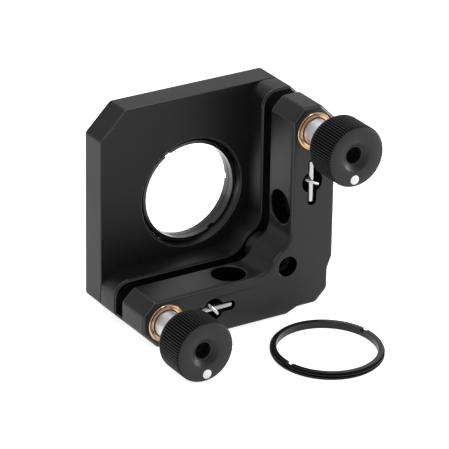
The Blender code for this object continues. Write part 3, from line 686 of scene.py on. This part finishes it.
def weigh_edges(bm, widest):
    """Give each sharp edge its share of the widest bevel. Only the outline's long runs have it in full."""
    weight = bm.edges.layers.float.new("bevel_weight_edge")
    broken = [edge for edge in bm.edges if edge.calc_face_angle(0.0) > BROKEN_EDGE_ANGLE]
    for edge in broken:
        edge[weight] = EDGE_BEVEL / widest if edge.is_convex else INSIDE_EDGE_SHARE * EDGE_BEVEL / widest
    for run in edge_runs([edge for edge in broken if edge.is_convex]):
        places = [vert.co.x for edge in run for vert in edge.verts]
        if max(places) - min(places) > OUTLINE_REACH:
            for edge in run:
                edge[weight] = 1.0


def plate_piece(node, material, widest, gap_y, facing, seam_y=None):
    """A plate with finely broken edges, made from its solid, with painted highlight and painted shade.

    widest is the bevel along the plate's outline. gap_y is where its face in the plates' gap lies, and
    facing is the way that face turns along Y.
    """
    bm = clean_solid(node)
    paint_shade_in_holes(bm)
    weigh_edges(bm, widest)
    piece = new_object(node + "_finish", bm, material)
    piece.data.materials.append(EDGE_HIGHLIGHT)
    piece.data.materials.append(ANODISED_PAINTED_SHADE)
    # Painted shade on the face in the plates' gap
    for face in piece.data.polygons:
        if facing * face.normal.y > GAP_TURN and abs(face.center.y - gap_y) < GAP_REACH:
            face.material_index = PAINTED_SHADE_SLOT
    bevel = piece.modifiers.new("Broken edges", "BEVEL")
    bevel.width = widest
    bevel.segments = BEVEL_SEGMENTS
    bevel.limit_method = "WEIGHT"
    # Painted highlight on the bevels' faces
    bevel.material = EDGE_HIGHLIGHT_SLOT
    bevel.use_clamp_overlap = False
    apply_modifiers(piece)
    plain_inside_edges(piece.data)
    if seam_y is not None:
        cut_seam(piece.data, seam_y)
    even = piece.modifiers.new("Even shading", "WEIGHTED_NORMAL")
    even.weight = SHADING_WEIGHT
    even.keep_sharp = True
    settle(piece, node, [node])


def knurl(radius, angle):
    """Radius of a knurled rim at an angle: narrow grooves between rounded teeth."""
    phase = (angle * KNURL_TEETH / math.tau) % 1.0
    vee = max(0.0, 1.0 - abs(phase - 0.5) / KNURL_GROOVE_SHARE)
    groove = KNURL_DEPTH * min(1.0, KNURL_STEEPNESS * vee)
    return min(radius, KNOB_R - groove)


def make_knob(side):
    """Knurled knob with a dished face, a hole for a hex key and painted shade in the knurl's grooves."""
    low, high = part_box(side + "_knob")
    centre = (low + high) / 2
    face = low.y
    front = high.y
    shoulder_r = KNOB_R - KNOB_SHOULDER
    root_r = KNOB_R - KNURL_DEPTH
    ramp_start = front - KNOB_SHOULDER - KNOB_RAMP
    outside = [
        (KNOB_R - KNOB_FACE_CHAMFER - EDGE_BREAK, face),
        (KNOB_R - KNOB_FACE_CHAMFER, face + EDGE_BREAK / 2),
        (root_r, face + KNOB_FACE_CHAMFER - KNURL_DEPTH + EDGE_BREAK / 2),
        (KNOB_R, face + KNOB_FACE_CHAMFER + EDGE_BREAK / 2),
        (KNOB_R, face + KNOB_RIM_SHARE * KNOB_FACE_CHAMFER + EDGE_BREAK),
        (KNOB_R, ramp_start - 2 * EDGE_BREAK),
        (KNOB_R, ramp_start),
        (root_r, ramp_start + KNOB_RAMP * KNURL_DEPTH / KNOB_SHOULDER),
        (shoulder_r + EDGE_BREAK / 2, front - KNOB_SHOULDER - EDGE_BREAK),
        (shoulder_r, front - KNOB_SHOULDER),
        (shoulder_r - EDGE_BREAK, front - KNOB_SHOULDER + EDGE_BREAK),
        (shoulder_r - KNOB_STEP + EDGE_BREAK, front - EDGE_BREAK),
        (shoulder_r - KNOB_STEP - EDGE_BREAK, front),
    ]
    inside = [
        (KNOB_BORE_R + EDGE_BREAK, front),
        (KNOB_BORE_R, front - EDGE_BREAK),
        (KNOB_BORE_R, front - KNOB_GRIP),
        (KNOB_HOLE_R, front - KNOB_GRIP - KNOB_HOLE_CONE),
        (KNOB_HOLE_R, face + KNOB_DISH_DEPTH + EDGE_BREAK),
        (KNOB_HOLE_R + EDGE_BREAK, face + KNOB_DISH_DEPTH),
        (KNOB_HOLE_R + KNOB_DISH_LIP, face + KNOB_DISH_DEPTH),
        (KNOB_DISH_R - EDGE_BREAK, face + KNOB_DISH_EDGE),
        (KNOB_DISH_R + EDGE_BREAK, face),
    ]
    bm = bmesh.new()
    revolved(bm, outside + inside, KNURL_TEETH * KNURL_POINTS, knurl, ring=True)
    bmesh.ops.translate(bm, vec=(centre.x, 0.0, centre.z), verts=bm.verts)
    knob = new_object(side + "_knurled_knob", bm, KNOB_BLACK)
    # Painted shade in the knurl's grooves
    paint_shade_in_roots(knob.data, centre, root_r - GROOVE_MARGIN, KNOB_R - KNURL_DEPTH / 2, KNURL_TURN)
    settle(knob, side + "_adjuster", [side + "_knob"])


def make_index_dot(side):
    """White index dot on a knob's face."""
    centre = middle(side + "_knob")
    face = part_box(side + "_knob")[0].y
    profile = [
        (0.0, -INDEX_DOT_RISE),
        (INDEX_DOT_R - INDEX_DOT_EDGE, -INDEX_DOT_RISE),
        (INDEX_DOT_R, 0.0),
        (INDEX_DOT_R, INDEX_DOT_SINK),
        (0.0, INDEX_DOT_SINK),
    ]
    bm = bmesh.new()
    revolved(bm, profile, INDEX_DOT_STEPS)
    turn = INDEX_DOT_TURN[side]
    place = Vector((math.sin(turn), 0.0, -math.cos(turn))) * INDEX_DOT_PLACE_R
    bmesh.ops.translate(bm, vec=(centre.x + place.x, face, centre.z + place.z), verts=bm.verts)
    mark = new_object(side + "_index_dot", bm, INDEX_WHITE)
    settle(mark, side + "_adjuster")


def make_screw(node, radius, thread_start, body, material):
    """Screw with a hex socket in its painted-shade rear end, a fine thread, and a cup for its ball at the
    front.
    """
    low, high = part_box(node)
    centre = (low + high) / 2
    start = low.y
    end = high.y
    bm = bmesh.new()
    socket = [(0.0, start + HEX_DEPTH), (HEX_ACROSS / 2, start + HEX_DEPTH - HEX_FLOOR)]
    socket += [(HEX_ACROSS / 2, start + HEX_CHAMFER), (HEX_ACROSS / 2 + HEX_CHAMFER, start)]

    def six_sided(r, angle):
        if r > HEX_ACROSS / 2 + HEX_MARGIN:
            return r
        return r / math.cos((angle + math.pi / 6) % (math.pi / 3) - math.pi / 6)

    root = radius - SCREW_THREAD_DEPTH
    head = socket + [(radius - HEAD_CHAMFER, start), (root, start + HEAD_CHAMFER_Y), (root, thread_start)]
    revolved(bm, head, SCREW_STEPS, six_sided)
    thread_end = end - TIP_CHAMFER_Y
    add_thread(bm, thread_start, thread_end, root, radius, SCREW_PITCH, SCREW_STEPS)
    tip = [(root, thread_end), (root - TIP_CHAMFER, end), (CUP_R, end), (0.0, end - CUP_RISE)]
    revolved(bm, tip, SCREW_STEPS)
    bmesh.ops.remove_doubles(bm, verts=bm.verts, dist=WELD)
    bmesh.ops.translate(bm, vec=(centre.x, 0.0, centre.z), verts=bm.verts)
    screw = new_object(node + "_threaded", bm, material)
    # Painted shade: the rear end, deep in the knob's hole, gets the black finish
    screw.data.materials.append(BLACK_OXIDE_AND_SHADE)
    for face in screw.data.polygons:
        if face.center.y < start + HEX_DEPTH + PAINTED_SHADE_END:
            face.material_index = len(screw.data.materials) - 1
    settle(screw, body, [node])


def make_bushing(side):
    """Bronze bushing with a broken outer edge, a groove in its rear end and a countersunk mouth."""
    low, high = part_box(side + "_bushing")
    centre = (low + high) / 2
    c = BUSHING_CHAMFER
    groove_r = BUSHING_R - BUSHING_GROOVE_INSET
    half = BUSHING_GROOVE_WIDTH / 2
    profile = [
        (groove_r + 2 * half, low.y),
        (BUSHING_R - BUSHING_EDGE_IN * c, low.y + BUSHING_EDGE_UP * c),
        (BUSHING_R, low.y + BUSHING_EDGE_END * c),
        (BUSHING_R, high.y - c),
        (BUSHING_R - c, high.y),
        (BUSHING_BORE_R, high.y),
        (BUSHING_BORE_R, low.y + BUSHING_MOUTH * c),
        (BUSHING_BORE_R + BUSHING_MOUTH * c, low.y + BUSHING_MOUTH_UP * c),
        (groove_r - half, low.y + BUSHING_GROOVE_LIP),
        (groove_r, low.y + BUSHING_GROOVE_DEPTH),
        (groove_r + half, low.y + BUSHING_GROOVE_DEPTH),
    ]
    bm = bmesh.new()
    revolved(bm, profile, TURN_STEPS, ring=True)
    bmesh.ops.translate(bm, vec=(centre.x, 0.0, centre.z), verts=bm.verts)
    bushing = new_object(side + "_bronze_bushing", bm, BRONZE)
    # Painted shade in the countersunk mouth
    paint_shade_in_roots(bushing.data, centre, BUSHING_BORE_R - BUSHING_MOUTH_MARGIN, BUSHING_BORE_R + c / 2)
    settle(bushing, "back_plate", [side + "_bushing"])


def make_ball(node, body):
    """Polished steel ball."""
    low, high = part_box(node)
    bm = bmesh.new()
    bmesh.ops.create_icosphere(bm, subdivisions=BALL_ROUNDNESS, radius=(high.y - low.y) / 2)
    bmesh.ops.translate(bm, vec=(low + high) / 2, verts=bm.verts)
    ball = new_object(node + "_polished", bm, POLISHED_STEEL)
    settle(ball, body, [node])


def make_pin(node, body):
    """Dowel pin with rounded ends."""
    low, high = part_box(node)
    size = high - low
    longest = max(range(3), key=lambda axis: size[axis])
    half = size[longest] / 2
    profile = [(0.0, -half)]
    for step in range(PIN_ROUNDING_STEPS + 1):
        a = math.radians(90 * step / PIN_ROUNDING_STEPS)
        inset = PIN_ROUNDING * (1 - math.cos(a))
        profile.append((PIN_R - PIN_ROUNDING + PIN_ROUNDING * math.sin(a), -half + inset))
    profile += [(r, -y) for r, y in reversed(profile)]
    bm = bmesh.new()
    revolved(bm, profile, PIN_STEPS)
    axis = Vector([1.0 if i == longest else 0.0 for i in range(3)])
    turn = Vector((0, 1, 0)).rotation_difference(axis).to_matrix().to_4x4()
    bmesh.ops.transform(bm, matrix=Matrix.Translation((low + high) / 2) @ turn, verts=bm.verts)
    pin = new_object(node + "_rounded", bm, SPRING_STEEL)
    settle(pin, body, [node])


def hook_points(end_y, pin_y, angle, away):
    """Path of a hook from the coil's end over a pin: along Y away from the coil, across and back."""
    over_y = pin_y + away * (PIN_R + WIRE_R + HOOK_CLEARANCE)
    bend_y = over_y - away * HOOK_BEND
    flat = [(COIL_R, end_y)]
    for middle_u, first, last in ((COIL_R - HOOK_BEND, 0, 90), (HOOK_BEND - COIL_R, 90, 180)):
        for step in range(HOOK_STEPS + 1):
            a = math.radians(first + (last - first) * step / HOOK_STEPS)
            flat.append((middle_u + HOOK_BEND * math.cos(a), bend_y + away * HOOK_BEND * math.sin(a)))
    flat.append((-COIL_R, bend_y - away * HOOK_TAIL))
    return [(u * math.cos(angle), y, u * math.sin(angle)) for u, y in flat]


def make_spring(side):
    """Extension spring of round wire, with a hook over each of its pins and rounded tails."""
    centre = middle(side + "_rear_spring_pin")
    rear_angle = REAR_HOOK_ANGLE[side]
    front_angle = FRONT_HOOK_ANGLE[side]
    turn = math.tau * SPRING_TURNS + (front_angle - rear_angle) % math.tau
    count = round(turn / math.tau * COIL_STEPS)
    points = list(reversed(hook_points(SPRING_START_Y, REAR_PIN_Y, rear_angle, -1)))
    for step in range(1, count):
        angle = rear_angle + turn * step / count
        y = SPRING_START_Y + (SPRING_END_Y - SPRING_START_Y) * step / count
        points.append((COIL_R * math.cos(angle), y, COIL_R * math.sin(angle)))
    points += hook_points(SPRING_END_Y, FRONT_PIN_Y, front_angle, 1)
    curve = bpy.data.curves.new(side + "_spring_wire", "CURVE")
    curve.dimensions = "3D"
    curve.bevel_depth = WIRE_R
    curve.bevel_resolution = WIRE_ROUNDNESS
    curve.use_fill_caps = True
    spline = curve.splines.new("POLY")
    tails = []
    for end, inner in ((points[0], points[1]), (points[-1], points[-2])):
        along = (Vector(end) - Vector(inner)).normalized()
        tails.append([(Vector(end) + along * WIRE_R * reach, radius) for reach, radius in TAIL_ROUNDING])
    path = tails[0][::-1] + [(Vector(point), 1.0) for point in points] + tails[1]
    spline.points.add(len(path) - 1)
    for point, (place, radius) in zip(spline.points, path):
        point.co = (*place, 1.0)
        point.radius = radius
    wire = bpy.data.objects.new(side + "_spring_wire", curve)
    bpy.context.scene.collection.objects.link(wire)
    bpy.context.view_layer.update()
    mesh = bpy.data.meshes.new_from_object(wire.evaluated_get(bpy.context.evaluated_depsgraph_get()))
    bpy.data.objects.remove(wire)
    bm = bmesh.new()
    bm.from_mesh(mesh)
    bmesh.ops.remove_doubles(bm, verts=bm.verts, dist=WIRE_WELD)
    bmesh.ops.translate(bm, vec=(centre.x, 0.0, centre.z), verts=bm.verts)
    spring = new_object(side + "_coil_spring", bm, SPRING_STEEL)
    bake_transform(spring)
    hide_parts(side + "_spring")


def make_ring(node, body, radius, notch_angle, notch_at_high, name, material, turn=0.0):
    """Retaining ring with a threaded rim and two spanner notches. It is made about Y, then turned about X.

    notch_at_high says which of its flat sides, before the turn, the notches are cut into.
    """
    half = RING_THICKNESS / 2
    root = radius - RING_THREAD_DEPTH
    bm = bmesh.new()
    c = RING_CHAMFER
    add_thread(bm, -half + c, half - c, root, radius, RING_THREAD_PITCH, RING_STEPS)
    skin = [
        (root, half - c),
        (root - c, half),
        (RING_HOLE_R + c, half),
        (RING_HOLE_R, half - c),
        (RING_HOLE_R, -half + c),
        (RING_HOLE_R + c, -half),
        (root - c, -half),
        (root, -half + c),
    ]
    revolved(bm, skin, RING_STEPS)
    bmesh.ops.remove_doubles(bm, verts=bm.verts, dist=WELD)
    ring = new_object(name, bm, material)
    cutter_bm = bmesh.new()
    notched_y = half if notch_at_high else -half
    size = Matrix.Diagonal((2 * radius + 2 * NOTCH_OVERHANG, 2 * NOTCH_DEPTH, NOTCH_WIDTH, 1.0))
    place = Matrix.Rotation(-notch_angle, 4, "Y") @ Matrix.Translation((0.0, notched_y, 0.0)) @ size
    bmesh.ops.create_cube(cutter_bm, size=1.0, matrix=place)
    cutter = new_object(name + "_cutter", cutter_bm, material)
    cut = ring.modifiers.new("Notches", "BOOLEAN")
    cut.object = cutter
    cut.operation = "DIFFERENCE"
    cut.solver = "EXACT"
    apply_modifiers(ring)
    bpy.data.objects.remove(cutter)
    # Painted shade in the thread's roots
    paint_shade_in_roots(ring.data, Vector(), root - GROOVE_MARGIN, root + RING_THREAD_DEPTH / 2)
    ring.data.transform(Matrix.Translation(middle(node)) @ Matrix.Rotation(turn, 4, "X"))
    settle(ring, body, [node])


def make_bore_thread():
    """The thread in the front plate's bore, as a thin threaded sleeve on the bore's wall."""
    slab_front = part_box("front_plate")[1].y
    centre = middle("rear_retaining_ring")
    start = SLAB_REAR + BORE_THREAD_INSET
    end = slab_front - BORE_FLARE_DEPTH
    wall = BORE_R - BORE_WALL_GAP
    root = BORE_R - BORE_ROOT_GAP
    bm = bmesh.new()
    add_thread(bm, start, end, root, BORE_THREAD_CREST_R, RING_THREAD_PITCH, RING_STEPS)
    revolved(bm, [(root, end), (wall, end), (wall, start), (root, start)], RING_STEPS)
    bmesh.ops.remove_doubles(bm, verts=bm.verts, dist=WELD)
    bmesh.ops.translate(bm, vec=(centre.x, 0.0, centre.z), verts=bm.verts)
    sleeve = new_object("bore_thread", bm, BORE_BLACK)
    settle(sleeve, "front_plate")


make_camera()
make_world()
make_floor()
for name, (place, size, power) in LAMPS.items():
    make_lamp(name, place, size, power)

plate_piece("back_plate", ANODISED, OUTLINE_BEVEL, BACK_PLATE_FRONT, 1.0)
# The front plate gets the darker copy as painted shade
plate_piece("front_plate", ANODISED_DARKER_FOR_SHADE, EDGE_BEVEL, RIDGE_REAR, -1.0, SLAB_REAR)
for side in ("top", "side"):
    make_knob(side)
    make_index_dot(side)
    thread_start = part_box(side + "_knob")[1].y - SCREW_THREAD_INSET
    make_screw(side + "_screw", SCREW_R, thread_start, side + "_adjuster", GROUND_STEEL)
    make_bushing(side)
    make_ball(side + "_ball_tip", side + "_tip")
    make_pin(side + "_rear_spring_pin", "back_plate")
    make_pin(side + "_front_spring_pin", "front_plate")
make_ball("pivot_ball", frame["nodes"]["pivot_ball"]["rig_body"])
for side in ("top", "side"):
    make_spring(side)
for end in ("rear", "front"):
    in_bore = (RING_IN_BORE_R, NOTCH_ANGLE[end], end == "front", end + "_ring_threaded", BORE_BLACK)
    make_ring(end + "_retaining_ring", end + "_ring", *in_bore)
lying = math.radians(90) + TABLE_TILT
loose = (SPARE_RING_R, NOTCH_ANGLE["spare"], True, "spare_ring_threaded", RING_BLACK, lying)
make_ring("spare_retaining_ring", "spare_ring", *loose)
make_bore_thread()

for node in ("flat_seat", "vee_seat", "cone_seat"):
    seat = frame["nodes"][node]
    seat.data.materials.clear()
    seat.data.materials.append(POLISHED_STEEL)
set_screw_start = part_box("pivot_set_screw")[0].y + SET_SCREW_THREAD_INSET
make_screw("pivot_set_screw", SET_SCREW_R, set_screw_start, "back_plate", BLACK_OXIDE_AND_SHADE)

bpy.context.scene.view_settings.view_transform = "Standard"
